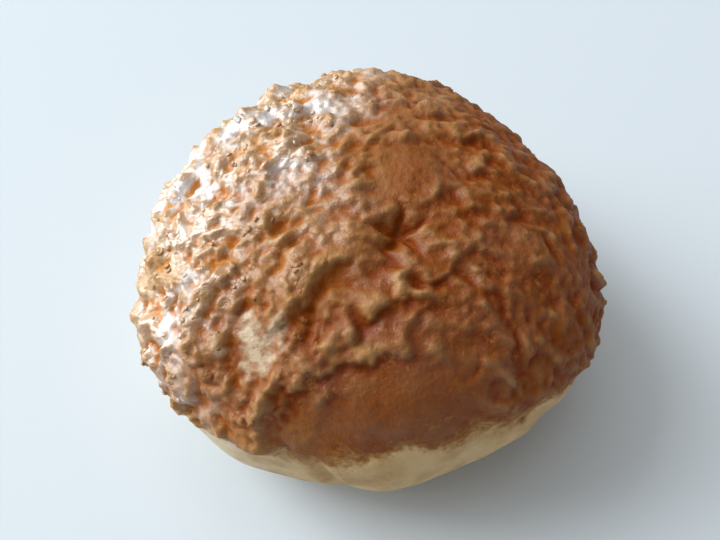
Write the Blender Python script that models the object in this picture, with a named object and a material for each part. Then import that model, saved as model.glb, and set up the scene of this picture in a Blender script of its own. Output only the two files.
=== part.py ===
"""An uncut cream puff: a pale choux shell under a crackled, crumbly, glazed crust.

Metres, +Z up. +X is the wide way, and -Y is the front.
The origin is the middle of the width and depth, at the height of the flat sole.
Sizes below are in millimetres, and the mesh is made in metres.
"""

import math

import bpy
from mathutils import Vector, noise

MM = 0.001
TAU = math.tau

# The bun without its crust: a dome over a tucked-in skirt.
HALF_WIDTH = 44.5
CORE_HEIGHT = 53.4
BELLY_HEIGHT = 24.0
SOLE_RADIUS = 24.0
DOME_ROUNDNESS = 0.95  # 1 is an ellipse, and less is fuller in the shoulders

# The plan is a soft triangle with one corner at the back: (waves round the belly, size, where one peaks).
PLAN_WAVES = (
    (2, 0.006, 0.0),
    (3, 0.034, math.radians(96)),
    (4, 0.011, math.radians(-17)),
)
PLAN_MIDDLE = Vector((0.0, 1.5, 0.0))  # of the bun's box, from the middle of its sole

# Where the dome and the skirt end, as shares of the way from pole to pole.
BELLY_SHARE = 0.66
SOLE_SHARE = 0.93

# Broad lumps of the whole bun.
SWELL_LENGTH = 16.0
SWELL = 0.8

# The crust ends above the belly, along a wavy edge that is higher at the front.
EDGE_HEIGHT = 26.5
EDGE_RISE = 8.0
EDGE_HIGH_SIDE = math.radians(-80)
EDGE_HIGH_WIDTH = math.radians(50)
EDGE_WAVE = 2.2
EDGE_FADE = 7.0
CRUST_THICKNESS = 0.6

# Shards of crust lap over each other in arcs round a point inside the front of the bun.
ARC_CENTRE = Vector((6.0, -22.5, 21.5))
ARC_STRETCH = 20.0  # the larger, the more the crumbs are drawn out along the arcs
LAP_SPACING = 6.4
LAP_WARP = 1.1
LAP_WARP_LENGTH = 14.0
LAP_STEP = 1.35
LAP_DROP = 0.2  # the share of a lap that its broken edge takes

# Ridges seen from above: (start, end, bow, height). Each falls away steeply on its right.
RIDGES = (
    (Vector((-17.0, -33.0)), Vector((14.0, -27.5)), 2.0, 1.3),
    (Vector((-4.0, -26.5)), Vector((13.0, -19.5)), 3.0, 1.5),
    (Vector((-13.0, -22.0)), Vector((0.0, -12.0)), 1.5, 1.2),
    (Vector((-29.0, -24.0)), Vector((-19.0, -9.0)), 1.0, 1.0),
    (Vector((12.5, -5.5)), Vector((28.0, -2.0)), 1.5, 1.0),
    (Vector((15.0, 3.0)), Vector((34.0, 2.0)), 4.5, 1.0),
    (Vector((-10.0, 5.0)), Vector((22.0, 14.5)), 2.0, 0.8),
)
RIDGE_BACK = 6.0
RIDGE_CLIFF = 2.0
RIDGE_WOBBLE = 1.2
RIDGE_TROUGH = 0.3
RIDGE_GAPS = 4.5  # how far apart the gaps in a ridge come

# Crumbly lumps, each steeper on its right: (length, rise, shift of the pattern).
LUMP_SIZES = (
    (6.5, 2.5, Vector((7.0, 1.0, 2.0))),
    (3.2, 1.7, Vector((3.0, 8.0, 1.0))),
    (1.7, 0.7, Vector((5.0, 2.0, 4.0))),
    (0.95, 0.2, Vector((1.0, 6.0, 9.0))),
)
LUMP_WARP = 0.5
LUMP_LEAN = Vector((0.5, -0.4, 0.0))

# Blocks of crust packed side by side: their own heights and tilts make the lumps jagged.
BLOCK_CELL = 2.4
BLOCK_RISE = 0.9
BLOCK_SHIFT = Vector((1.0, 3.0, 7.0))
BLOCK_WARP = 0.35
BLOCK_GROOVE = 0.35
BLOCK_TILT = 1.1

# Where the crust is crumbly: most on the left and along its edge.
CRUMB_EVERYWHERE = 0.22
CRUMB_LEFT = -2.0
CRUMB_LEFT_FADE = 16.0
CRUMB_EDGE_BAND = 10.0

# Rough ground between the crumbs.
CRAG_LENGTH = 3.0
CRAG = 0.55

# Lone nodules on the rim of the crust and at the back of the top: (place, radius).
NODULES = (
    (Vector((42.9, -7.3, 35.1)), 1.7),
    (Vector((-38.0, -18.3, 36.2)), 1.6),
    (Vector((-37.8, -22.7, 32.8)), 1.5),
    (Vector((-33.2, -30.8, 29.4)), 1.7),
    (Vector((-31.1, -33.5, 27.8)), 1.4),
    (Vector((-7.3, 16.1, 51.4)), 1.3),
    (Vector((11.8, 20.8, 49.3)), 1.5),
)

# The pucker beside the middle of the top, with cracks running out of it.
PUCKER = Vector((5.5, -8.5))
PUCKER_RADIUS = 4.2
PUCKER_DEPTH = 2.4
CRACKS = 5
CRACK_TURN = math.radians(25)
CRACK_LENGTH = 8.0
CRACK_WIDTH = 0.7
CRACK_DEPTH = 1.4

# Calm places of the crust: (place, radius, rise). The sunk one is a bald spot.
CALM_PLACES = (
    (Vector((8.6, 3.3, 52.9)), 6.5, 0.8),
    (Vector((8.5, -34.3, 41.4)), 13.0, 0.9),
    (Vector((-6.0, -38.2, 38.4)), 7.5, 0.2),
    (Vector((-17.5, -26.7, 45.7)), 4.2, -0.6),
    (Vector((-3.8, -13.1, 52.2)), 4.0, 0.4),
)

# Pleats of the skirt, each at an azimuth, as wide and as deep as given.
PLEATS = (
    (math.radians(276), 9.0, 1.0),
    (math.radians(262), 1.7, -1.5),
    (math.radians(252), 6.5, -0.8),
    (math.radians(318), 4.0, -0.7),
    (math.radians(15), 5.0, -1.0),
    (math.radians(62), 7.0, 0.9),
    (math.radians(77), 2.0, -1.3),
    (math.radians(130), 5.0, -0.9),
    (math.radians(172), 2.2, -1.2),
    (math.radians(200), 6.0, 0.7),
)
PLEAT_LEAN = 0.4
RIPPLE = 0.45
RIPPLE_LENGTH = 6.0

PATTERN_SEED = 1
CELLS = 84  # along each side of the cube that the fine mesh starts from
TRIANGLES = 11000
PRESSED_FLAT = 0.2  # points of the thinned mesh lower than this lie in the sole's plane

GOLDEN_BROWN = (0.50, 0.24, 0.08)


def smooth_step(low, high, x):
    """0 below low, 1 above high, and a smooth rise between."""
    t = min(max((x - low) / (high - low), 0.0), 1.0)
    return t * t * (3.0 - 2.0 * t)


def bell(x):
    """1 at 0, falling away on both sides within about 1.5."""
    return math.exp(-x * x)


def plan_radius(azimuth):
    """The radius of the belly at an azimuth."""
    waves = sum(size * math.cos(count * (azimuth - peak)) for count, size, peak in PLAN_WAVES)
    return HALF_WIDTH * (1.0 + waves)


def form_point(direction):
    """The point of the smooth bun that a unit direction stands for."""
    share = math.acos(max(-1.0, min(1.0, direction.z))) / math.pi
    azimuth = math.atan2(direction.y, direction.x)
    reach = plan_radius(azimuth)
    if share < BELLY_SHARE:
        turn = share / BELLY_SHARE * math.pi / 2
        radius = reach * math.sin(turn) ** DOME_ROUNDNESS
        height = BELLY_HEIGHT + (CORE_HEIGHT - BELLY_HEIGHT) * math.cos(turn) ** DOME_ROUNDNESS
    elif share < SOLE_SHARE:
        turn = (share - BELLY_SHARE) / (SOLE_SHARE - BELLY_SHARE) * math.pi / 2
        radius = SOLE_RADIUS + (reach - SOLE_RADIUS) * math.cos(turn)
        height = BELLY_HEIGHT * (1.0 - math.sin(turn))
    else:
        radius = SOLE_RADIUS * (1.0 - share) / (1.0 - SOLE_SHARE)
        height = 0.0
    return Vector((radius * math.cos(azimuth), radius * math.sin(azimuth), height))


def edge_height(p):
    """The height of the crust's edge on this side of the bun."""
    turn = (math.atan2(p.y, p.x) - EDGE_HIGH_SIDE + math.pi) % TAU - math.pi
    return EDGE_HEIGHT + EDGE_RISE * bell(turn / EDGE_HIGH_WIDTH)


def crust_cover(p):
    """1 on the crust and 0 on the bare skirt, with a wavy edge between."""
    edge = edge_height(p) + EDGE_WAVE * noise.noise(p / 8.0)
    return smooth_step(edge - EDGE_FADE / 2, edge + EDGE_FADE / 2, p.z)


def calm(p):
    """1 in the calm places of the crust, and 0 away from them."""
    most = 0.0
    for place, radius, _ in CALM_PLACES:
        away = (p - place).length + 4.0 * noise.noise(p / 6.0)
        most = max(most, 1.0 - smooth_step(0.35 * radius, 1.3 * radius, away))
    return most


def calm_rise(p):
    """How far the calm places swell or sink."""
    total = 0.0
    for place, radius, rise in CALM_PLACES:
        total += rise * bell(1.4 * (p - place).length / radius)
    return total


def drawn_out(p):
    """The point moved so that an even pattern comes out stretched along the arcs."""
    out = p - ARC_CENTRE
    far = out.length
    return out * (max(far - ARC_STRETCH, 1.0) / far)


def laps(p):
    """Overlapping shards: each rises slowly, and breaks off steeply towards the centre of the arcs."""
    warp = noise.noise(p / LAP_WARP_LENGTH) + 0.5 * noise.noise(p / (0.35 * LAP_WARP_LENGTH))
    phase = LAP_WARP * warp - (p - ARC_CENTRE).length / LAP_SPACING
    part = phase - math.floor(phase)
    rise = part * (1.0 - smooth_step(1.0 - LAP_DROP, 1.0, part))
    strength = smooth_step(-0.5, 0.5, noise.noise(p / 9.0 + Vector((7.0, 0.0, 0.0))))
    return LAP_STEP * strength * rise


def ridges(p):
    """The named ridges, each with a crumbly crest, a steep side and a trough at its foot."""
    total = 0.0
    wobble = RIDGE_WOBBLE * (noise.noise(p / 3.2) + 0.5 * noise.noise(p / 1.4))
    whole = smooth_step(-0.45, 0.15, noise.noise(p / RIDGE_GAPS + Vector((2.0, 0.0, 6.0))))
    flat = Vector((p.x, p.y))
    for start, end, bow, height in RIDGES:
        run = end - start
        share = (flat - start).dot(run) / run.length_squared
        if not 0.0 < share < 1.0:
            continue
        left = (flat - start).dot(Vector((-run.y, run.x)).normalized())
        across = left - 4.0 * bow * share * (1.0 - share) + wobble
        if across > 0.0:
            side = 1.0 - smooth_step(0.0, RIDGE_BACK, across)
        else:
            side = 1.0 - smooth_step(0.0, RIDGE_CLIFF, -across)
        ends = smooth_step(0.0, 0.18, share) * (1.0 - smooth_step(0.82, 1.0, share))
        trough = RIDGE_TROUGH * bell((across + 2.2) / 1.2)
        total += ends * whole * (height * side - trough)
    return total


def crumb_share(p):
    """How crumbly the crust is: most on the left and along its edge."""
    patch = 8.0 * noise.noise(p / 11.0 + Vector((0.0, 4.0, 0.0)))
    left = 1.0 - smooth_step(CRUMB_LEFT - CRUMB_LEFT_FADE, CRUMB_LEFT + CRUMB_LEFT_FADE, p.x + patch)
    edge = 1.0 - smooth_step(0.0, CRUMB_EDGE_BAND, p.z - edge_height(p))
    most = max(left, 0.7 * edge, CRUMB_EVERYWHERE)
    return most * (1.0 - 0.75 * calm(p))


def crumbs(p):
    """How far the crumbly lumps and blocks stand out and the ground between them sinks."""
    drawn = drawn_out(p)
    total = 0.0
    for length, rise, shift in LUMP_SIZES:
        q = drawn / length + shift + LUMP_WARP * noise.noise_vector(p / (1.3 * length))
        total += rise * noise.noise(q - LUMP_LEAN * noise.noise(q))
    q = drawn / BLOCK_CELL + BLOCK_SHIFT + BLOCK_WARP * noise.noise_vector(p / (0.7 * BLOCK_CELL))
    distances, places = noise.voronoi(q)
    own = 0.5 + 0.5 * noise.noise(places[0] * 5.7)
    tilt = noise.noise_vector(places[0] * 3.9).dot(q - places[0])
    block = smooth_step(0.0, BLOCK_GROOVE, distances[1] - distances[0])
    crown = 1.0 - 0.8 * min(distances[0], 1.0) ** 2
    return total + BLOCK_RISE * block * crown * (0.3 + 0.7 * own + BLOCK_TILT * tilt)


def crags(p):
    """Rough ground with sharp crests that run along the arcs."""
    crest = 1.0 - 2.5 * abs(noise.noise(drawn_out(p) / CRAG_LENGTH))
    return CRAG * (crest + 0.8 * noise.noise(p / (0.5 * CRAG_LENGTH)))


def nodules(p):
    """How far the lone nodules stand out."""
    most = 0.0
    for place, radius in NODULES:
        away = (p - place).length / (radius * (1.0 + 0.3 * noise.noise(p / 1.5)))
        if away < 1.5:
            most = max(most, radius * math.sqrt(max(0.0, 1.0 - (away / 1.5) ** 2)))
    return most


def pucker(p):
    """The hollow beside the middle of the top, and the cracks that run out of it."""
    out = Vector((p.x, p.y)) - PUCKER
    away = out.length
    if away > 3.0 * PUCKER_RADIUS or p.z < BELLY_HEIGHT:
        return 0.0
    hollow = PUCKER_DEPTH * bell(1.3 * away / PUCKER_RADIUS)
    lobe = (math.atan2(out.y, out.x) - CRACK_TURN + 0.6 * noise.noise(p / 4.0)) * CRACKS / TAU
    off_crack = abs(lobe - round(lobe)) / CRACKS * TAU * away
    crack = bell(off_crack / CRACK_WIDTH) * (1.0 - smooth_step(0.3 * CRACK_LENGTH, CRACK_LENGTH, away))
    return -hollow - CRACK_DEPTH * crack


def skirt_folds(p):
    """Pleats and soft ripples of the bare choux."""
    azimuth = math.atan2(p.y, p.x)
    reach = math.hypot(p.x, p.y)
    fold = RIPPLE * noise.noise(Vector((p.x, p.y, 0.6 * p.z)) / RIPPLE_LENGTH)
    for at, width, depth in PLEATS:
        turn = (azimuth - at + math.pi) % TAU - math.pi
        lean = turn * reach + PLEAT_LEAN * (p.z - BELLY_HEIGHT)
        fold += depth * bell(lean / width)
    return fold


def relief(p):
    """How far the surface stands out of the smooth bun at one of its points."""
    above_sole = smooth_step(0.2, 9.0, p.z)
    level = SWELL * noise.noise(p / SWELL_LENGTH) * above_sole
    cover = crust_cover(p)
    if cover < 1.0:
        level += (1.0 - cover) * above_sole * skirt_folds(p)
    if cover > 0.0:
        crumbly = crumb_share(p)
        rough = 1.0 - 0.85 * calm(p)
        ground = laps(p) * rough * (1.0 - 0.6 * crumbly) + ridges(p)
        ground += crumbly * crumbs(p) + rough * crags(p) + calm_rise(p) + pucker(p) + nodules(p)
        level += cover * (CRUST_THICKNESS + ground)
    return level


def quad_sphere(cells):
    """(directions, faces) of a cube with square cells, blown up to a sphere."""
    directions = []
    index_of = {}
    faces = []

    def corner(axis, side, i, j):
        key = [0, 0, 0]
        key[axis] = side * cells
        key[(axis + 1) % 3] = 2 * i - cells
        key[(axis + 2) % 3] = 2 * j - cells
        key = tuple(key)
        if key not in index_of:
            index_of[key] = len(directions)
            directions.append(Vector([math.tan(k / cells * math.pi / 4) for k in key]).normalized())
        return index_of[key]

    for axis in range(3):
        for side in (-1, 1):
            for i in range(cells):
                for j in range(cells):
                    ring = [corner(axis, side, i + a, j + b) for a, b in ((0, 0), (1, 0), (1, 1), (0, 1))]
                    faces.append(ring if side > 0 else ring[::-1])
    return directions, faces


def make_puff(name, cells):
    """The puff as a fine mesh object with its relief."""
    noise.seed_set(PATTERN_SEED)
    directions, faces = quad_sphere(cells)
    mesh = bpy.data.meshes.new(name)
    mesh.from_pydata([form_point(d) for d in directions], [], faces)
    smooth = [(v.co.copy(), v.normal.copy()) for v in mesh.vertices]
    for vertex, (place, normal) in zip(mesh.vertices, smooth):
        vertex.co = (place + normal * relief(place) - PLAN_MIDDLE) * MM
    mesh.update()
    puff = bpy.data.objects.new(name, mesh)
    bpy.context.scene.collection.objects.link(puff)
    return puff


def baked_crust():
    """The golden brown of the baked crust."""
    material = bpy.data.materials.new("baked_crust")
    material.use_nodes = True
    shader = material.node_tree.nodes["Principled BSDF"]
    shader.inputs["Base Color"].default_value = (*GOLDEN_BROWN, 1.0)
    shader.inputs["Roughness"].default_value = 0.4
    return material


def thin_out(puff):
    """Drops triangles where the surface is even, keeps them on the crags, and leaves the sole flat."""
    decimate = puff.modifiers.new("thin_out", "DECIMATE")
    decimate.ratio = TRIANGLES / (2 * len(puff.data.polygons))
    decimate.use_collapse_triangulate = True
    thinned = puff.evaluated_get(bpy.context.evaluated_depsgraph_get())
    mesh = bpy.data.meshes.new_from_object(thinned)
    puff.modifiers.clear()
    puff.data = mesh
    for vertex in mesh.vertices:
        if vertex.co.z < PRESSED_FLAT * MM:
            vertex.co.z = 0.0
    mesh.update()


def main():
    for old in list(bpy.data.objects):
        bpy.data.objects.remove(old)
    puff = make_puff("cream_puff", CELLS)
    puff.data.materials.append(baked_crust())
    puff.data.shade_smooth()
    thin_out(puff)


if __name__ == "__main__":
    main()
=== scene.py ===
"""Looks for the cream puff: fine crust relief, crumbs, glaze, a pale floor and window light.

The relief is worked out in millimetres, like the solid's. Meshes, lights and patterns are in metres.
"""

import math
import random

import bmesh
import bpy
import numpy as np
from mathutils import Matrix, Vector, noise


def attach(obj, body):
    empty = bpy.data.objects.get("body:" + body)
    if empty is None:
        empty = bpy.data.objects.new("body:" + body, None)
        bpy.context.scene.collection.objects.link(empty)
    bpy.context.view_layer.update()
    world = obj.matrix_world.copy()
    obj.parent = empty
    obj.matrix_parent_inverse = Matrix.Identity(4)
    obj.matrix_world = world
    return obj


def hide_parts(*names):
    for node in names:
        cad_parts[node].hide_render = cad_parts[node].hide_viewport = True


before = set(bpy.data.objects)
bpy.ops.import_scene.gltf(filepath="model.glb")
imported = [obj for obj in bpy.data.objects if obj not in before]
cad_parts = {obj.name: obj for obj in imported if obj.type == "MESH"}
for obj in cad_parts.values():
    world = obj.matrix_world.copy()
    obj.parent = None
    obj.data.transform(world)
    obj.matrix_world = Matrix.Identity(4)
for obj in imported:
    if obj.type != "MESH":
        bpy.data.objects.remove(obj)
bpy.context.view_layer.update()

MM = 0.001
TAU = math.tau

# The bun without its crust: a dome over a tucked-in skirt.
HALF_WIDTH = 44.5
CORE_HEIGHT = 53.4
BELLY_HEIGHT = 24.0
SOLE_RADIUS = 24.0
DOME_ROUNDNESS = 0.95  # 1 is an ellipse, and less is fuller in the shoulders

# The plan is a soft triangle with one corner at the back: (waves round the belly, size, where one peaks).
PLAN_WAVES = (
    (2, 0.006, 0.0),
    (3, 0.034, math.radians(96)),
    (4, 0.011, math.radians(-17)),
)
PLAN_MIDDLE = Vector((0.0, 1.5, 0.0))  # of the bun's box, from the middle of its sole

# Where the dome and the skirt end, as shares of the way from pole to pole.
BELLY_SHARE = 0.66
SOLE_SHARE = 0.93

# Broad lumps of the whole bun, which fade out towards the sole between two heights.
SWELL_LENGTH = 16.0
SWELL = 0.8
SOLE_FADE = (0.2, 9.0)

# The crust ends above the belly, along a wavy edge that is higher at the front.
EDGE_HEIGHT = 26.5
EDGE_RISE = 8.0
EDGE_HIGH_SIDE = math.radians(-80)
EDGE_HIGH_WIDTH = math.radians(50)
EDGE_WAVE = 2.2
EDGE_WAVE_LENGTH = 8.0
EDGE_FADE = 7.0
CRUST_THICKNESS = 0.6

# Shards of crust lap over each other in arcs round a point inside the front of the bun.
ARC_CENTRE = Vector((6.0, -22.5, 21.5))
ARC_STRETCH = 20.0  # the larger, the more the crumbs are drawn out along the arcs
LAP_SPACING = 6.4
LAP_WARP = 1.1
LAP_WARP_LENGTH = 14.0
LAP_STEP = 1.35
LAP_DROP = 0.2  # the share of a lap that its broken edge takes
LAP_PATCH_LENGTH = 9.0
LAP_PATCH_SHIFT = Vector((7.0, 0.0, 0.0))

# Ridges seen from above: (start, end, bow, height). Each falls away steeply on its right.
RIDGES = (
    (Vector((-17.0, -33.0)), Vector((14.0, -27.5)), 2.0, 1.3),
    (Vector((-4.0, -26.5)), Vector((13.0, -19.5)), 3.0, 1.5),
    (Vector((-13.0, -22.0)), Vector((0.0, -12.0)), 1.5, 1.2),
    (Vector((-29.0, -24.0)), Vector((-19.0, -9.0)), 1.0, 1.0),
    (Vector((12.5, -5.5)), Vector((28.0, -2.0)), 1.5, 1.0),
    (Vector((15.0, 3.0)), Vector((34.0, 2.0)), 4.5, 1.0),
    (Vector((-10.0, 5.0)), Vector((22.0, 14.5)), 2.0, 0.8),
)
RIDGE_BACK = 6.0
RIDGE_CLIFF = 2.0
RIDGE_WOBBLE = 1.2
RIDGE_WOBBLE_LENGTH = 3.2
RIDGE_CHIP_LENGTH = 1.4
RIDGE_TROUGH = 0.3
RIDGE_TROUGH_AWAY = 2.2
RIDGE_TROUGH_WIDTH = 1.2
RIDGE_GAPS = 4.5  # how far apart the gaps in a ridge come
RIDGE_GAPS_SHIFT = Vector((2.0, 0.0, 6.0))

# Crumbly lumps, each steeper on its right: (length, rise, shift of the pattern).
LUMP_SIZES = (
    (6.5, 2.5, Vector((7.0, 1.0, 2.0))),
    (3.2, 1.7, Vector((3.0, 8.0, 1.0))),
    (1.7, 0.7, Vector((5.0, 2.0, 4.0))),
    (0.95, 0.2, Vector((1.0, 6.0, 9.0))),
)
LUMP_WARP = 0.5
LUMP_WARP_LENGTH = 1.3  # in lumps
LUMP_LEAN = Vector((0.5, -0.4, 0.0))

# Blocks of crust packed side by side: their own heights and tilts make the lumps jagged.
BLOCK_CELL = 2.4
BLOCK_RISE = 0.9
BLOCK_SHIFT = Vector((1.0, 3.0, 7.0))
BLOCK_WARP = 0.35
BLOCK_WARP_LENGTH = 0.7  # in blocks
BLOCK_GROOVE = 0.35
BLOCK_TILT = 1.1
HEIGHT_DRAW = 5.7  # spreads the blocks' places over the noise, so that each draws its own height
TILT_DRAW = 3.9

# Where the crust is crumbly: most on the left and along its edge.
CRUMB_EVERYWHERE = 0.22
CRUMB_LEFT = -2.0
CRUMB_LEFT_FADE = 16.0
CRUMB_PATCH = 8.0
CRUMB_PATCH_LENGTH = 11.0
CRUMB_PATCH_SHIFT = Vector((0.0, 4.0, 0.0))
CRUMB_EDGE_BAND = 10.0
CRUMB_EDGE_SHARE = 0.7

# Rough ground between the crumbs.
CRAG_LENGTH = 3.0
CRAG = 0.55

# Lone nodules on the rim of the crust and at the back of the top: (place, radius).
NODULES = (
    (Vector((42.9, -7.3, 35.1)), 1.7),
    (Vector((-38.0, -18.3, 36.2)), 1.6),
    (Vector((-37.8, -22.7, 32.8)), 1.5),
    (Vector((-33.2, -30.8, 29.4)), 1.7),
    (Vector((-31.1, -33.5, 27.8)), 1.4),
    (Vector((-7.3, 16.1, 51.4)), 1.3),
    (Vector((11.8, 20.8, 49.3)), 1.5),
)
NODULE_SPREAD = 1.5  # how far a nodule's foot reaches, in radii
NODULE_ROUGH = 0.3
NODULE_ROUGH_LENGTH = 1.5

# The pucker beside the middle of the top, with cracks running out of it.
PUCKER = Vector((5.5, -8.5))
PUCKER_RADIUS = 4.2
PUCKER_DEPTH = 2.4
CRACKS = 5
CRACK_TURN = math.radians(25)
CRACK_WANDER = 0.6
CRACK_WANDER_LENGTH = 4.0
CRACK_LENGTH = 8.0
CRACK_WIDTH = 0.7
CRACK_DEPTH = 1.4

# Calm places of the crust: (place, radius, rise). The sunk one is a bald spot.
BALD_PLACE = Vector((-17.5, -26.7, 45.7))
CALM_PLACES = (
    (Vector((8.6, 3.3, 52.9)), 6.5, 0.8),
    (Vector((8.5, -34.3, 41.4)), 13.0, 0.9),
    (Vector((-6.0, -38.2, 38.4)), 7.5, 0.2),
    (BALD_PLACE, 4.2, -0.6),
    (Vector((-3.8, -13.1, 52.2)), 4.0, 0.4),
)
CALM_FADE = (0.35, 1.3)  # in radii
CALM_WAVE = 4.0
CALM_WAVE_LENGTH = 6.0

# Pleats of the skirt, each at an azimuth, as wide and as deep as given.
PLEATS = (
    (math.radians(276), 9.0, 1.0),
    (math.radians(262), 1.7, -1.5),
    (math.radians(252), 6.5, -0.8),
    (math.radians(318), 4.0, -0.7),
    (math.radians(15), 5.0, -1.0),
    (math.radians(62), 7.0, 0.9),
    (math.radians(77), 2.0, -1.3),
    (math.radians(130), 5.0, -0.9),
    (math.radians(172), 2.2, -1.2),
    (math.radians(200), 6.0, 0.7),
)
PLEAT_LEAN = 0.4
RIPPLE = 0.45
RIPPLE_LENGTH = 6.0
RIPPLE_DRAW = 0.6  # less than 1 draws the ripples out up the skirt

PATTERN_SEED = 1

# What the fine mesh adds to the solid's relief.
CELLS = 127  # along each side of the cube that the mesh starts from
GRAIN = 1.25
GRAIN_RISE = 0.12
GRAIN_SHIFT = Vector((4.0, 1.0, 8.0))
GRAIN_WARP = 0.3
GRAIN_WARP_LENGTH = 0.9
GRAIN_LEAST_REACH = 0.4  # of a grain, in grains
GRAIN_MORE_REACH = 0.35
SCRATCH = 0.2
SCRATCH_LENGTH = 0.7
SCRATCH_LEVEL = 0.22

# How often each height is averaged with its neighbours' to tell small crumbs and whole lumps apart.
FINE_SPREAD = 12
BROAD_SPREAD = 90
CREST_HEIGHTS = (0.4, 1.0)  # of a ridge, where its crest begins and is in full

# Crumbs stuck to the crust: (how many, smallest and largest radius, how finely each is made).
STUCK_SEED = 5
STUCK_KINDS = (
    (30, 0.5, 0.8, 3),
    (160, 0.35, 0.6, 2),
)
STUCK_SINK = 0.66
STUCK_FLAT = 0.65
STUCK_LONG = 0.6
STUCK_ROUGH = ((0.45, 1.3), (0.25, 3.1))  # (depth, how often over a crumb)
STUCK_PALENESS = (0.2, 0.9)

# Where the browned crust sets in, round its edge.
BROWN_BELOW = 6.0
BROWN_ABOVE = 5.5
BROWN_WAVE = 3.0
BROWN_WAVE_LENGTH = 7.0
BROWN_SHIFT = Vector((5.0, 5.0, 0.0))
BROWN_FRAY = 1.8
BROWN_FRAY_LENGTH = 1.7

# Painted shade: the crust is coloured golden on the left and back, which the windows light, and dark on the
# front right, along a way that runs to the front right.
SHADE_WAY = Vector((0.89, -0.42, -0.1)).normalized()
SHADE_FROM = -46.0
SHADE_TO = 9.0
SHADE_WAVE = 9.0
SHADE_WAVE_LENGTH = 18.0
SHADE_FRAY = 4.0
SHADE_FRAY_LENGTH = 6.0

# The bald spot's colour, which frays out wider than its hollow.
BALD_RADIUS = 6.2
BALD_WAVE = 5.0
BALD_WAVE_LENGTH = 4.0
BALD_FRAY = 2.5
BALD_FRAY_LENGTH = 1.3

# Colours of the crust where it is golden and where it is dark, from its pits up: a lit and a shaded copy of
# one crust, the dark one painted shade. Saturated pits, darker on the dark side, partly paint shade and warm
# bounce in the hollows, and the dark side's paler, greyer crests are partly a painted highlight.
LIT_SIDE_DEEP = (0.55, 0.205, 0.020)
LIT_SIDE_MIDDLE = (0.51, 0.315, 0.125)
LIT_SIDE_CREST = (0.50, 0.250, 0.064)
SHADED_SIDE_DEEP = (0.21, 0.037, 0.002)
SHADED_SIDE_MIDDLE = (0.230, 0.058, 0.004)
SHADED_SIDE_CREST = (0.33, 0.160, 0.058)

# Colours of the pale ground, the bald spot, the ridges' crests and the bare choux. The pale ground is partly
# a painted sheen, and the second skirt colour is painted shade.
SHEEN_AND_PALE_GLAZE = (0.62, 0.60, 0.60)
BALD = (0.60, 0.47, 0.32)
TAN = (0.50, 0.28, 0.09)
SKIRT = (0.80, 0.66, 0.47)
SKIRT_SHADED_SIDE = (0.68, 0.48, 0.25)
SKIRT_BROWN = (0.40, 0.20, 0.065)

# Patterns of the crust and the skirt: how many waves to the metre.
BLOTCHES = 160.0
SPECKS = 1100.0
PALE_PATCHES = 85.0
CREST_GAPS = 240.0
BALD_MOTTLE = 480.0
SKIRT_TONES = 90.0
SKIRT_TONES_SHIFT = (0.7, 0.2, 0.4)
DULL_PATCHES = 420.0
GLAZE_PATCHES = 110.0
GLAZE_PATCHES_SHIFT = (0.1, 0.5, 0.3)

# The crust's height as its colours see it: shares of the small and the broad relief, and of blotches.
FINE_SHARE = 0.6
BROAD_SHARE = 0.9
BLOTCH_SHARE = 1.2

# Heights over which one colour gives way to the next.
PIT_HEIGHTS = (-0.6, 0.0)
LIT_SIDE_CREST_HEIGHTS = (-0.1, 0.6)
SHADED_SIDE_CREST_HEIGHTS = (-0.1, 1.1)

# Pale ground between the lumps: partly a painted sheen of the windows on the glaze, on the lit side, and
# partly paler glaze. It is palest at one height, and less so towards the dark side away from the windows.
PALE_HEIGHT = -0.1
PALE_FALL = 0.9
PALE_CONTRAST = 6.0
PALE_LEVELS = (-0.5, 0.8)

# Spans of a pattern or of the painted shade, and for some of them what comes out at their two ends.
PALE_BY_SHADE = (0.1, 0.85, 0.9, 0.02)
TAN_BY_GAPS = (0.45, 0.65, 0.0, 0.45)
SPECK_LEVELS = (0.55, 0.75)
SPECKS_BY_SHADE = (0.2, 1.0, 0.12, 0.03)
BALD_BY_MOTTLE = (0.35, 0.6, 0.25, 0.85)
SKIRT_SHADE_SPAN = (0.55, 1.0)
SKIRT_TONE_LEVELS = (0.42, 0.68)
SKIRT_TONE_SHARE = 0.6

# The crust's edge: a brown line along the skirt, then the crust, both frayed.
EDGE_BLOTCH = 1.1
EDGE_SPECK = 0.8
BROWN_LINE_LEVELS = (0.1, 0.6)
CRUST_LEVELS = (0.4, 0.9)

# The surface: a dull crust under a glaze that is thick on the golden side and thin in the pits.
ROUGHNESS_BY_PATCH = (0.35, 0.7, 0.36, 0.60)
BUMPS = ((1500.0, 0.4, 0.0004), (620.0, 0.5, 0.0007))  # (waves to the metre, strength, depth)
GLAZE_BROWN = (0.6, 1.0)
GLAZE_BY_SHADE = (0.3, 0.9, 1.0, 0.12)
GLAZE_BY_PATCH = (0.35, 0.62, 0.35, 1.0)
GLAZE_BY_HEIGHT = (-0.9, 0.1, 0.25, 1.0)
CRUST_SURFACE = {
    "Coat Roughness": 0.42,
    "Coat IOR": 2.8,
    "Specular IOR Level": 0.05,
    "Subsurface Weight": 0.06,
    "Subsurface Radius": (1.0, 0.55, 0.25),
    "Subsurface Scale": 0.0015,
}

# The floor.
FLOOR_HALF = 2.0
FLOOR_COLOURS = ((0.61, 0.665, 0.71), (0.63, 0.685, 0.73))
FLOOR_TONES = 3.0
FLOOR_SURFACE = {"Roughness": 0.8, "Specular IOR Level": 0.2}

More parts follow.
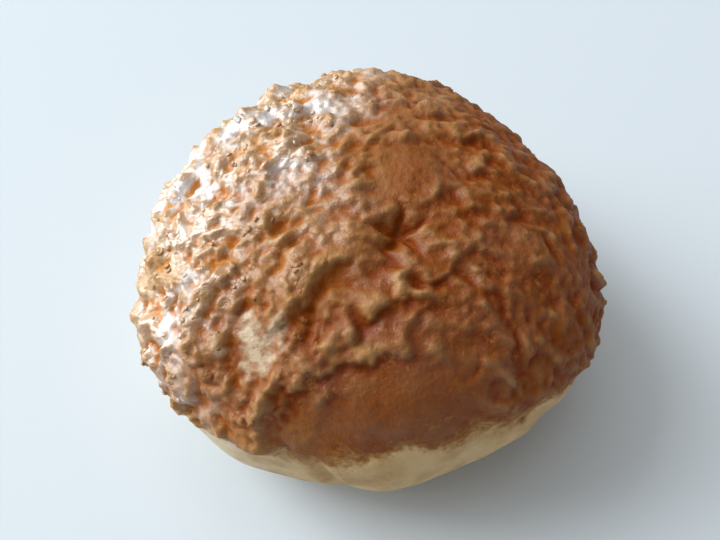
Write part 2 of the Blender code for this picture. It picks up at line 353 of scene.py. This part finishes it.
# Daylight from the left: (name, place, side, watts, colour). All of it aims at the puff.
WINDOWS = (
    ("window", Vector((-0.94, 0.34, 1.0)) * 2.3, 1.5, 54.0, (0.93, 0.98, 1.0)),
    ("low_window", Vector((-0.93, 0.36, 0.32)) * 2.5, 2.4, 84.0, (0.90, 0.96, 1.0)),
    ("ceiling", Vector((-0.4, 0.35, 1.0)) * 2.8, 3.6, 46.0, (0.95, 0.98, 1.0)),
)
WINDOW_AIM = Vector((0.0, 0.0, 0.02))
ROOM_COLOUR = (1.0, 0.98, 0.95, 1.0)
ROOM_STRENGTH = 0.30

# The camera, as fitted to the puff's outline.
AIM = Vector((0.0, -1.5, 25.0))
CAMERA_RISE = math.radians(60)
CAMERA_AWAY = 149.2
CAMERA_OFF = (1.07, -0.07)
CAMERA_NEAR = 5.0
LENS = 36.0
SENSOR = 36.0


def smooth_step(low, high, x):
    """0 below low, 1 above high, and a smooth rise between."""
    t = min(max((x - low) / (high - low), 0.0), 1.0)
    return t * t * (3.0 - 2.0 * t)


def bell(x):
    """1 at 0, falling away on both sides within about 1.5."""
    return math.exp(-x * x)


def plan_radius(azimuth):
    """The radius of the belly at an azimuth."""
    waves = sum(size * math.cos(count * (azimuth - peak)) for count, size, peak in PLAN_WAVES)
    return HALF_WIDTH * (1.0 + waves)


def form_point(direction):
    """The point of the smooth bun that a unit direction stands for."""
    share = math.acos(max(-1.0, min(1.0, direction.z))) / math.pi
    azimuth = math.atan2(direction.y, direction.x)
    reach = plan_radius(azimuth)
    if share < BELLY_SHARE:
        turn = share / BELLY_SHARE * math.pi / 2
        radius = reach * math.sin(turn) ** DOME_ROUNDNESS
        height = BELLY_HEIGHT + (CORE_HEIGHT - BELLY_HEIGHT) * math.cos(turn) ** DOME_ROUNDNESS
    elif share < SOLE_SHARE:
        turn = (share - BELLY_SHARE) / (SOLE_SHARE - BELLY_SHARE) * math.pi / 2
        radius = SOLE_RADIUS + (reach - SOLE_RADIUS) * math.cos(turn)
        height = BELLY_HEIGHT * (1.0 - math.sin(turn))
    else:
        radius = SOLE_RADIUS * (1.0 - share) / (1.0 - SOLE_SHARE)
        height = 0.0
    return Vector((radius * math.cos(azimuth), radius * math.sin(azimuth), height))


def edge_height(p):
    """The height of the crust's edge on this side of the bun."""
    turn = (math.atan2(p.y, p.x) - EDGE_HIGH_SIDE + math.pi) % TAU - math.pi
    return EDGE_HEIGHT + EDGE_RISE * bell(turn / EDGE_HIGH_WIDTH)


def crust_cover(p):
    """1 on the crust and 0 on the bare skirt, with a wavy edge between."""
    edge = edge_height(p) + EDGE_WAVE * noise.noise(p / EDGE_WAVE_LENGTH)
    return smooth_step(edge - EDGE_FADE / 2, edge + EDGE_FADE / 2, p.z)


def calm(p):
    """1 in the calm places of the crust, and 0 away from them."""
    most = 0.0
    for place, radius, _ in CALM_PLACES:
        away = (p - place).length + CALM_WAVE * noise.noise(p / CALM_WAVE_LENGTH)
        most = max(most, 1.0 - smooth_step(CALM_FADE[0] * radius, CALM_FADE[1] * radius, away))
    return most


def calm_rise(p):
    """How far the calm places swell or sink."""
    total = 0.0
    for place, radius, rise in CALM_PLACES:
        total += rise * bell(1.4 * (p - place).length / radius)
    return total


def drawn_out(p):
    """The point moved so that an even pattern comes out stretched along the arcs."""
    out = p - ARC_CENTRE
    far = out.length
    return out * (max(far - ARC_STRETCH, 1.0) / far)


def laps(p):
    """Overlapping shards: each rises slowly, and breaks off steeply towards the centre of the arcs."""
    warp = noise.noise(p / LAP_WARP_LENGTH) + 0.5 * noise.noise(p / (0.35 * LAP_WARP_LENGTH))
    phase = LAP_WARP * warp - (p - ARC_CENTRE).length / LAP_SPACING
    part = phase - math.floor(phase)
    rise = part * (1.0 - smooth_step(1.0 - LAP_DROP, 1.0, part))
    strength = smooth_step(-0.5, 0.5, noise.noise(p / LAP_PATCH_LENGTH + LAP_PATCH_SHIFT))
    return LAP_STEP * strength * rise


def ridges(p):
    """The named ridges, each with a crumbly crest, a steep side and a trough at its foot."""
    total = 0.0
    chips = noise.noise(p / RIDGE_WOBBLE_LENGTH) + 0.5 * noise.noise(p / RIDGE_CHIP_LENGTH)
    wobble = RIDGE_WOBBLE * chips
    whole = smooth_step(-0.45, 0.15, noise.noise(p / RIDGE_GAPS + RIDGE_GAPS_SHIFT))
    flat = Vector((p.x, p.y))
    for start, end, bow, height in RIDGES:
        run = end - start
        share = (flat - start).dot(run) / run.length_squared
        if not 0.0 < share < 1.0:
            continue
        left = (flat - start).dot(Vector((-run.y, run.x)).normalized())
        across = left - 4.0 * bow * share * (1.0 - share) + wobble
        if across > 0.0:
            side = 1.0 - smooth_step(0.0, RIDGE_BACK, across)
        else:
            side = 1.0 - smooth_step(0.0, RIDGE_CLIFF, -across)
        ends = smooth_step(0.0, 0.18, share) * (1.0 - smooth_step(0.82, 1.0, share))
        trough = RIDGE_TROUGH * bell((across + RIDGE_TROUGH_AWAY) / RIDGE_TROUGH_WIDTH)
        total += ends * whole * (height * side - trough)
    return total


def crumb_share(p):
    """How crumbly the crust is: most on the left and along its edge."""
    patch = CRUMB_PATCH * noise.noise(p / CRUMB_PATCH_LENGTH + CRUMB_PATCH_SHIFT)
    left = 1.0 - smooth_step(CRUMB_LEFT - CRUMB_LEFT_FADE, CRUMB_LEFT + CRUMB_LEFT_FADE, p.x + patch)
    edge = 1.0 - smooth_step(0.0, CRUMB_EDGE_BAND, p.z - edge_height(p))
    most = max(left, CRUMB_EDGE_SHARE * edge, CRUMB_EVERYWHERE)
    return most * (1.0 - 0.75 * calm(p))


def crumbs(p):
    """How far the crumbly lumps and blocks stand out and the ground between them sinks."""
    drawn = drawn_out(p)
    total = 0.0
    for length, rise, shift in LUMP_SIZES:
        q = drawn / length + shift + LUMP_WARP * noise.noise_vector(p / (LUMP_WARP_LENGTH * length))
        total += rise * noise.noise(q - LUMP_LEAN * noise.noise(q))
    warp = BLOCK_WARP * noise.noise_vector(p / (BLOCK_WARP_LENGTH * BLOCK_CELL))
    q = drawn / BLOCK_CELL + BLOCK_SHIFT + warp
    distances, places = noise.voronoi(q)
    own = 0.5 + 0.5 * noise.noise(places[0] * HEIGHT_DRAW)
    tilt = noise.noise_vector(places[0] * TILT_DRAW).dot(q - places[0])
    block = smooth_step(0.0, BLOCK_GROOVE, distances[1] - distances[0])
    crown = 1.0 - 0.8 * min(distances[0], 1.0) ** 2
    return total + BLOCK_RISE * block * crown * (0.3 + 0.7 * own + BLOCK_TILT * tilt)


def crags(p):
    """Rough ground with sharp crests that run along the arcs."""
    crest = 1.0 - 2.5 * abs(noise.noise(drawn_out(p) / CRAG_LENGTH))
    return CRAG * (crest + 0.8 * noise.noise(p / (0.5 * CRAG_LENGTH)))


def nodules(p):
    """How far the lone nodules stand out."""
    most = 0.0
    for place, radius in NODULES:
        rough = 1.0 + NODULE_ROUGH * noise.noise(p / NODULE_ROUGH_LENGTH)
        away = (p - place).length / (radius * rough)
        if away < NODULE_SPREAD:
            most = max(most, radius * math.sqrt(max(0.0, 1.0 - (away / NODULE_SPREAD) ** 2)))
    return most


def pucker(p):
    """The hollow beside the middle of the top, and the cracks that run out of it."""
    out = Vector((p.x, p.y)) - PUCKER
    away = out.length
    if away > 3.0 * PUCKER_RADIUS or p.z < BELLY_HEIGHT:
        return 0.0
    hollow = PUCKER_DEPTH * bell(1.3 * away / PUCKER_RADIUS)
    wander = CRACK_WANDER * noise.noise(p / CRACK_WANDER_LENGTH)
    lobe = (math.atan2(out.y, out.x) - CRACK_TURN + wander) * CRACKS / TAU
    off_crack = abs(lobe - round(lobe)) / CRACKS * TAU * away
    crack = bell(off_crack / CRACK_WIDTH) * (1.0 - smooth_step(0.3 * CRACK_LENGTH, CRACK_LENGTH, away))
    return -hollow - CRACK_DEPTH * crack


def skirt_folds(p):
    """Pleats and soft ripples of the bare choux."""
    azimuth = math.atan2(p.y, p.x)
    reach = math.hypot(p.x, p.y)
    fold = RIPPLE * noise.noise(Vector((p.x, p.y, RIPPLE_DRAW * p.z)) / RIPPLE_LENGTH)
    for at, width, depth in PLEATS:
        turn = (azimuth - at + math.pi) % TAU - math.pi
        lean = turn * reach + PLEAT_LEAN * (p.z - BELLY_HEIGHT)
        fold += depth * bell(lean / width)
    return fold


def quad_sphere(cells):
    """(directions, faces) of a cube with square cells, blown up to a sphere."""
    directions = []
    index_of = {}
    faces = []

    def corner(axis, side, i, j):
        key = [0, 0, 0]
        key[axis] = side * cells
        key[(axis + 1) % 3] = 2 * i - cells
        key[(axis + 2) % 3] = 2 * j - cells
        key = tuple(key)
        if key not in index_of:
            index_of[key] = len(directions)
            directions.append(Vector([math.tan(k / cells * math.pi / 4) for k in key]).normalized())
        return index_of[key]

    for axis in range(3):
        for side in (-1, 1):
            for i in range(cells):
                for j in range(cells):
                    ring = [corner(axis, side, i + a, j + b) for a, b in ((0, 0), (1, 0), (1, 1), (0, 1))]
                    faces.append(ring if side > 0 else ring[::-1])
    return directions, faces


def grain(p):
    """The finest crumbs and scratches, which are too small for the solid."""
    q = p / GRAIN + GRAIN_SHIFT + GRAIN_WARP * noise.noise_vector(p / GRAIN_WARP_LENGTH)
    distances, places = noise.voronoi(q)
    own = 0.5 + 0.5 * noise.noise(places[0] * HEIGHT_DRAW)
    reach = GRAIN_LEAST_REACH + GRAIN_MORE_REACH * own
    bump = math.sqrt(max(0.0, 1.0 - (distances[0] / reach) ** 2))
    scratch = abs(noise.noise(p / SCRATCH_LENGTH)) - SCRATCH_LEVEL
    return GRAIN_RISE * own * bump + SCRATCH * scratch


def relief(p):
    """(how far the surface stands out of the smooth bun, crumb share, calm, crest) at a point."""
    above_sole = smooth_step(*SOLE_FADE, p.z)
    level = SWELL * noise.noise(p / SWELL_LENGTH) * above_sole
    cover = crust_cover(p)
    crumbly = 0.0
    still = 0.0
    crest = 0.0
    if cover < 1.0:
        level += (1.0 - cover) * above_sole * skirt_folds(p)
    if cover > 0.0:
        crumbly = crumb_share(p)
        still = calm(p)
        rough = 1.0 - 0.85 * still
        ridge = ridges(p)
        crest = smooth_step(*CREST_HEIGHTS, ridge)
        ground = laps(p) * rough * (1.0 - 0.6 * crumbly) + ridge
        ground += crumbly * crumbs(p) + rough * crags(p) + calm_rise(p) + pucker(p) + nodules(p)
        ground += (0.6 + 0.2 * crumbly) * (1.0 - 0.6 * still) * grain(p)
        level += cover * (CRUST_THICKNESS + ground)
    return level, crumbly, still, crest


def browning(p):
    """0 on the pale skirt, and 1 where the crust is fully browned: it sets in above the crust's edge."""
    wave = BROWN_WAVE * noise.noise(p / BROWN_WAVE_LENGTH + BROWN_SHIFT)
    edge = edge_height(p) + wave + BROWN_FRAY * noise.noise(p / BROWN_FRAY_LENGTH)
    return smooth_step(edge - BROWN_BELOW, edge + BROWN_ABOVE, p.z)


def shaded_side(p):
    """0 on the golden left and back of the crust, and 1 on its dark front and right: painted shade on the
    side away from the windows.
    """
    along = p.dot(SHADE_WAY) + SHADE_WAVE * noise.noise(p / SHADE_WAVE_LENGTH)
    along += SHADE_FRAY * noise.noise(p / SHADE_FRAY_LENGTH)
    return smooth_step(SHADE_FROM, SHADE_TO, along)


def bald(p):
    """1 in the bald spot of the crust, where the pale choux shows."""
    away = (p - BALD_PLACE).length + BALD_WAVE * noise.noise(p / BALD_WAVE_LENGTH)
    away += BALD_FRAY * noise.noise(p / BALD_FRAY_LENGTH)
    return 1.0 - smooth_step(0.5 * BALD_RADIUS, BALD_RADIUS, away)


def add_attribute(mesh, name, values):
    """A number for each point of the mesh, which a material reads by name."""
    attribute = mesh.attributes.new(name, "FLOAT", "POINT")
    attribute.data.foreach_set("value", np.asarray(values, np.float32))


def spread_out(edges, values, times):
    """The values, each averaged with its neighbours' some number of times."""
    count = np.bincount(edges.ravel(), minlength=len(values))
    for _ in range(times):
        total = np.bincount(edges[:, 0], weights=values[edges[:, 1]], minlength=len(values))
        total += np.bincount(edges[:, 1], weights=values[edges[:, 0]], minlength=len(values))
        values = 0.5 * values + 0.5 * total / count
    return values


def make_puff():
    """The puff as a fine mesh with its relief, and what its material and its crumbs need to know of it."""
    noise.seed_set(PATTERN_SEED)
    directions, faces = quad_sphere(CELLS)
    mesh = bpy.data.meshes.new("puff")
    mesh.from_pydata([form_point(direction) for direction in directions], [], faces)
    smooth = [(vertex.co.copy(), vertex.normal.copy()) for vertex in mesh.vertices]
    found = [relief(place) for place, _ in smooth]
    for vertex, (place, normal), (level, *_) in zip(mesh.vertices, smooth, found):
        vertex.co = (place + normal * level - PLAN_MIDDLE) * MM
    mesh.update()
    levels, crumbly, still, crest = (np.array(values) for values in zip(*found))
    edges = np.empty(2 * len(mesh.edges), np.int64)
    mesh.edges.foreach_get("vertices", edges)
    edges = edges.reshape(-1, 2)
    add_attribute(mesh, "crumbly", crumbly)
    add_attribute(mesh, "still", still)
    add_attribute(mesh, "crest", crest)
    add_attribute(mesh, "fine", levels - spread_out(edges, levels, FINE_SPREAD))
    add_attribute(mesh, "broad", levels - spread_out(edges, levels, BROAD_SPREAD))
    for tone in (browning, shaded_side, bald):
        add_attribute(mesh, tone.__name__, [tone(place) for place, _ in smooth])
    puff = bpy.data.objects.new("puff", mesh)
    bpy.context.scene.collection.objects.link(puff)
    mesh.shade_smooth()
    return puff


class Nodes:
    """Short calls for building a material's node tree."""

    def __init__(self, name):
        self.material = bpy.data.materials.new(name)
        self.material.use_nodes = True
        self.tree = self.material.node_tree
        self.shader = self.tree.nodes["Principled BSDF"]

    def put(self, kind, **settings):
        """A new node with the given settings."""
        node = self.tree.nodes.new(kind)
        for key, value in settings.items():
            setattr(node, key, value)
        return node

    def link(self, source, target):
        """Feeds a number, a colour or another node's output into a socket."""
        if isinstance(source, (int, float)):
            target.default_value = source
        elif isinstance(source, tuple):
            target.default_value = source if len(source) == len(target.default_value) else (*source, 1.0)
        else:
            self.tree.links.new(source, target)

    def set_shader(self, values):
        """Sets the shader's plain values, given by socket name."""
        for socket, value in values.items():
            self.shader.inputs[socket].default_value = value

    def number(self, name):
        """The mesh's number of that name."""
        return self.put("ShaderNodeAttribute", attribute_name=name).outputs["Fac"]

    def math(self, operation, a, b=0.0):
        """The result of one sum."""
        node = self.put("ShaderNodeMath", operation=operation)
        self.link(a, node.inputs[0])
        self.link(b, node.inputs[1])
        return node.outputs[0]

    def plus(self, a, b):
        return self.math("ADD", a, b)

    def times(self, a, b):
        return self.math("MULTIPLY", a, b)

    def swing(self, pattern, size):
        """A pattern moved to lie round 0, and made as large as given."""
        return self.times(self.math("SUBTRACT", pattern, 0.5), size)

    def span(self, value, low, high, out_low=0.0, out_high=1.0):
        """A smooth way from out_low to out_high while the value goes from low to high."""
        node = self.put("ShaderNodeMapRange", interpolation_type="SMOOTHSTEP")
        for socket, given in zip(node.inputs, (value, low, high, out_low, out_high)):
            self.link(given, socket)
        return node.outputs[0]

    def mix(self, share, a, b):
        """Colour a, with a share of colour b."""
        node = self.put("ShaderNodeMix", data_type="RGBA")
        self.link(share, node.inputs[0])
        self.link(a, node.inputs[6])
        self.link(b, node.inputs[7])
        return node.outputs[2]

    def noise(self, scale, detail=2.0, rough=0.5, shift=None):
        """A noise pattern in the object's own coordinates."""
        node = self.put("ShaderNodeTexNoise")
        coords = self.put("ShaderNodeTexCoord").outputs["Object"]
        if shift:
            move = self.put("ShaderNodeVectorMath", operation="ADD")
            self.link(coords, move.inputs[0])
            move.inputs[1].default_value = shift
            coords = move.outputs[0]
        self.link(coords, node.inputs["Vector"])
        node.inputs["Scale"].default_value = scale
        node.inputs["Detail"].default_value = detail
        node.inputs["Roughness"].default_value = rough
        return node.outputs["Fac"]

    def bump(self, height, strength, distance, normal=None):
        """A bump, on top of another one if that is given."""
        node = self.put("ShaderNodeBump")
        node.inputs["Strength"].default_value = strength
        node.inputs["Distance"].default_value = distance
        self.link(height, node.inputs["Height"])
        if normal:
            self.link(normal, node.inputs["Normal"])
        return node.outputs[0]


def crust_height(nodes, blotch):
    """How high the crust stands round here, with blotches so that its colours don't follow it closely."""
    fine = nodes.times(nodes.number("fine"), FINE_SHARE)
    broad = nodes.times(nodes.number("broad"), BROAD_SHARE)
    return nodes.plus(nodes.plus(fine, broad), nodes.swing(blotch, BLOTCH_SHARE))


def crust_colour(nodes, height, speck):
    """Golden to dark, which is painted shade on the side away from the windows, with saturated pits, paler
    ground that is partly a painted sheen, white specks that are partly painted glints, tan crests and a bald
    spot.
    """
    shade_share = nodes.number("shaded_side")
    # From pits to crests: the saturated, darker pits are partly painted shade and bounce, and the dark side's
    # pale crests are partly a painted highlight.
    low = nodes.span(height, *PIT_HEIGHTS)
    gold = nodes.mix(low, LIT_SIDE_DEEP, LIT_SIDE_MIDDLE)
    gold = nodes.mix(nodes.span(height, *LIT_SIDE_CREST_HEIGHTS), gold, LIT_SIDE_CREST)
    dark = nodes.mix(low, SHADED_SIDE_DEEP, SHADED_SIDE_MIDDLE)
    dark = nodes.mix(nodes.span(height, *SHADED_SIDE_CREST_HEIGHTS), dark, SHADED_SIDE_CREST)
    # Painted shade: the golden crust gives way to the dark one on the side away from the windows.
    colour = nodes.mix(shade_share, gold, dark)
    # Painted sheen, in part: near-white pale ground between the lumps, mostly on the lit side.
    off_ground = nodes.math("ABSOLUTE", nodes.math("SUBTRACT", height, PALE_HEIGHT))
    patches = nodes.swing(nodes.noise(PALE_PATCHES, 3.0, 0.6), PALE_CONTRAST)
    patches = nodes.math("SUBTRACT", patches, nodes.times(off_ground, PALE_FALL))
    pale = nodes.times(nodes.span(patches, *PALE_LEVELS), nodes.span(shade_share, *PALE_BY_SHADE))
    colour = nodes.mix(pale, colour, SHEEN_AND_PALE_GLAZE)
    crest = nodes.times(nodes.number("crest"), nodes.span(nodes.noise(CREST_GAPS), *TAN_BY_GAPS))
    colour = nodes.mix(crest, colour, TAN)
    # Painted glints, in part: white specks, most on the lit side.
    specks = nodes.times(nodes.span(speck, *SPECK_LEVELS), nodes.span(shade_share, *SPECKS_BY_SHADE))
    colour = nodes.mix(specks, colour, SHEEN_AND_PALE_GLAZE)
    bare = nodes.times(nodes.number("bald"), nodes.span(nodes.noise(BALD_MOTTLE), *BALD_BY_MOTTLE))
    return nodes.mix(bare, colour, BALD)


def skirt_colour(nodes):
    """Bare choux, deeper in tone on the side away from the windows, which is painted shade, with soft brown
    clouds.
    """
    tones = nodes.noise(SKIRT_TONES, 3.0, 0.55, SKIRT_TONES_SHIFT)
    # Painted shade: the skirt darkens towards the side away from the windows.
    colour = nodes.mix(nodes.span(nodes.number("shaded_side"), *SKIRT_SHADE_SPAN), SKIRT, SKIRT_SHADED_SIDE)
    clouds = nodes.times(nodes.span(tones, *SKIRT_TONE_LEVELS), SKIRT_TONE_SHARE)
    return nodes.mix(clouds, colour, SKIRT_BROWN)


def glaze_weight(nodes, height):
    """How much glaze lies here."""
    weight = nodes.times(
        nodes.span(nodes.number("browning"), *GLAZE_BROWN),
        nodes.span(nodes.number("shaded_side"), *GLAZE_BY_SHADE),
    )
    patches = nodes.noise(GLAZE_PATCHES, 2.0, 0.5, GLAZE_PATCHES_SHIFT)
    weight = nodes.times(weight, nodes.span(patches, *GLAZE_BY_PATCH))
    return nodes.times(weight, nodes.span(height, *GLAZE_BY_HEIGHT))


def puff_material():
    """Glazed crust above, bare choux below."""
    nodes = Nodes("glazed_crust")
    inputs = nodes.shader.inputs
    blotch = nodes.noise(BLOTCHES, 3.0, 0.55)
    speck = nodes.noise(SPECKS, 2.0, 0.6)
    height = crust_height(nodes, blotch)
    edge = nodes.plus(nodes.number("browning"), nodes.swing(blotch, EDGE_BLOTCH))
    edge = nodes.plus(edge, nodes.swing(speck, EDGE_SPECK))
    colour = nodes.mix(nodes.span(edge, *BROWN_LINE_LEVELS), skirt_colour(nodes), SKIRT_BROWN)
    colour = nodes.mix(nodes.span(edge, *CRUST_LEVELS), colour, crust_colour(nodes, height, speck))
    nodes.link(colour, inputs["Base Color"])
    nodes.link(nodes.span(nodes.noise(DULL_PATCHES), *ROUGHNESS_BY_PATCH), inputs["Roughness"])
    surface = None
    for scale, strength, depth in BUMPS:
        surface = nodes.bump(nodes.noise(scale, 3.0, 0.6), strength, depth, surface)
    nodes.link(surface, inputs["Normal"])
    nodes.link(surface, inputs["Coat Normal"])
    nodes.link(glaze_weight(nodes, height), inputs["Coat Weight"])
    nodes.set_shader(CRUST_SURFACE)
    return nodes.material


def small_ball(steps):
    """(corners, faces) of a ball of triangles."""
    built = bmesh.new()
    bmesh.ops.create_icosphere(built, subdivisions=steps, radius=1.0)
    corners = [corner.co.copy() for corner in built.verts]
    faces = [[corner.index for corner in face.verts] for face in built.faces]
    built.free()
    return corners, faces


def crumb_chance(crumbly, still, brown, fine):
    """How likely a crumb is to stick: most on high, crumbly, browned crust that isn't calm."""
    chance = smooth_step(0.35, 0.9, crumbly) * (1.0 - still)
    return chance * brown * smooth_step(-0.2, 0.3, fine)


def crumb_points(corners, vertex, radius, shift, draw):
    """The points of a rough, flattened ball that is sunk part of the way into the crust."""
    centre = vertex.co / MM + vertex.normal * radius * STUCK_FLAT * (1.0 - 2.0 * STUCK_SINK)
    lying = vertex.normal.to_track_quat("Z", "Y").to_matrix()
    turn = lying @ Matrix.Rotation(draw.uniform(0.0, TAU), 3, "Z")
    long = 1.0 + STUCK_LONG * draw.random()
    points = []
    for out in corners:
        rough = 1.0
        for depth, often in STUCK_ROUGH:
            rough += depth * noise.noise(out * often + shift)
        shape = turn @ Vector((out.x * long, out.y, out.z * STUCK_FLAT))
        points.append((centre + shape * radius * rough) * MM)
    return points


def make_crumbs(puff):
    """Crumbs of crust stuck to the puff, as one mesh that wears the puff's material."""
    draw = random.Random(STUCK_SEED)
    mesh = puff.data
    of_puff = {}
    for name in ("crumbly", "still", "browning", "fine", "shaded_side"):
        of_puff[name] = np.empty(len(mesh.vertices), np.float32)
        mesh.attributes[name].data.foreach_get("value", of_puff[name])
    places = []
    faces = []
    sizes = []
    hosts = []
    for many, least, most, steps in STUCK_KINDS:
        corners, ball_faces = small_ball(steps)
        made = 0
        while made < many:
            host = draw.randrange(len(mesh.vertices))
            chance = crumb_chance(*(of_puff[name][host] for name in ("crumbly", "still", "browning", "fine")))
            if draw.random() > chance:
                continue
            radius = least + (most - least) * draw.random() ** 2
            shift = Vector((made, 2.0 * made, steps))
            faces += [[len(places) + i for i in face] for face in ball_faces]
            places += crumb_points(corners, mesh.vertices[host], radius, shift, draw)
            sizes.append(len(corners))
            hosts.append(host)
            made += 1
    crumbs_mesh = bpy.data.meshes.new("crumbs")
    crumbs_mesh.from_pydata(places, [], faces)
    for name in ("shaded_side", "browning"):
        add_attribute(crumbs_mesh, name, np.repeat(of_puff[name][hosts], sizes))
    paleness = [draw.uniform(*STUCK_PALENESS) for _ in sizes]
    add_attribute(crumbs_mesh, "fine", np.repeat(paleness, sizes))
    crumbs_mesh.shade_smooth()
    piece = bpy.data.objects.new("crumbs", crumbs_mesh)
    bpy.context.scene.collection.objects.link(piece)
    return piece


def make_floor():
    """A plain pale floor."""
    mesh = bpy.data.meshes.new("floor")
    corners = [(x * FLOOR_HALF, y * FLOOR_HALF, 0.0) for x, y in ((-1, -1), (1, -1), (1, 1), (-1, 1))]
    mesh.from_pydata(corners, [], [(0, 1, 2, 3)])
    floor = bpy.data.objects.new("floor", mesh)
    bpy.context.scene.collection.objects.link(floor)
    nodes = Nodes("pale_floor")
    nodes.link(nodes.mix(nodes.noise(FLOOR_TONES), *FLOOR_COLOURS), nodes.shader.inputs["Base Color"])
    nodes.set_shader(FLOOR_SURFACE)
    mesh.materials.append(nodes.material)
    return floor


def make_window(name, place, size, power, colour):
    """A square area light that faces the puff."""
    light = bpy.data.lights.new(name, "AREA")
    light.size = size
    light.energy = power
    light.color = colour
    window = bpy.data.objects.new(name, light)
    window.location = place
    window.rotation_euler = (WINDOW_AIM - place).to_track_quat("-Z", "Y").to_euler()
    bpy.context.scene.collection.objects.link(window)


def make_room():
    """Weak light from all sides."""
    world = bpy.data.worlds.new("room")
    bpy.context.scene.world = world
    world.use_nodes = True
    background = world.node_tree.nodes["Background"]
    background.inputs["Color"].default_value = ROOM_COLOUR
    background.inputs["Strength"].default_value = ROOM_STRENGTH


def make_camera():
    """Looks down at the puff from the front."""
    data = bpy.data.cameras.new("camera")
    data.sensor_width = SENSOR
    data.lens = LENS
    data.clip_start = CAMERA_NEAR * MM
    camera = bpy.data.objects.new("camera", data)
    bpy.context.scene.collection.objects.link(camera)
    ahead = Vector((0.0, math.cos(CAMERA_RISE), -math.sin(CAMERA_RISE)))
    right = Vector((1.0, 0.0, 0.0))
    up = right.cross(ahead)
    place = AIM - ahead * CAMERA_AWAY - right * CAMERA_OFF[0] - up * CAMERA_OFF[1]
    camera.location = place * MM
    camera.rotation_euler = (math.pi / 2 - CAMERA_RISE, 0.0, 0.0)
    bpy.context.scene.camera = camera


make_camera()
puff = make_puff()
crumb_piece = make_crumbs(puff)
glaze = puff_material()
for piece in (puff, crumb_piece):
    piece.data.materials.append(glaze)
    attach(piece, "root")
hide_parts("cream_puff")
make_floor()

for window in WINDOWS:
    make_window(*window)
make_room()
bpy.context.scene.view_settings.view_transform = "Standard"

bpy.context.view_layer.update()
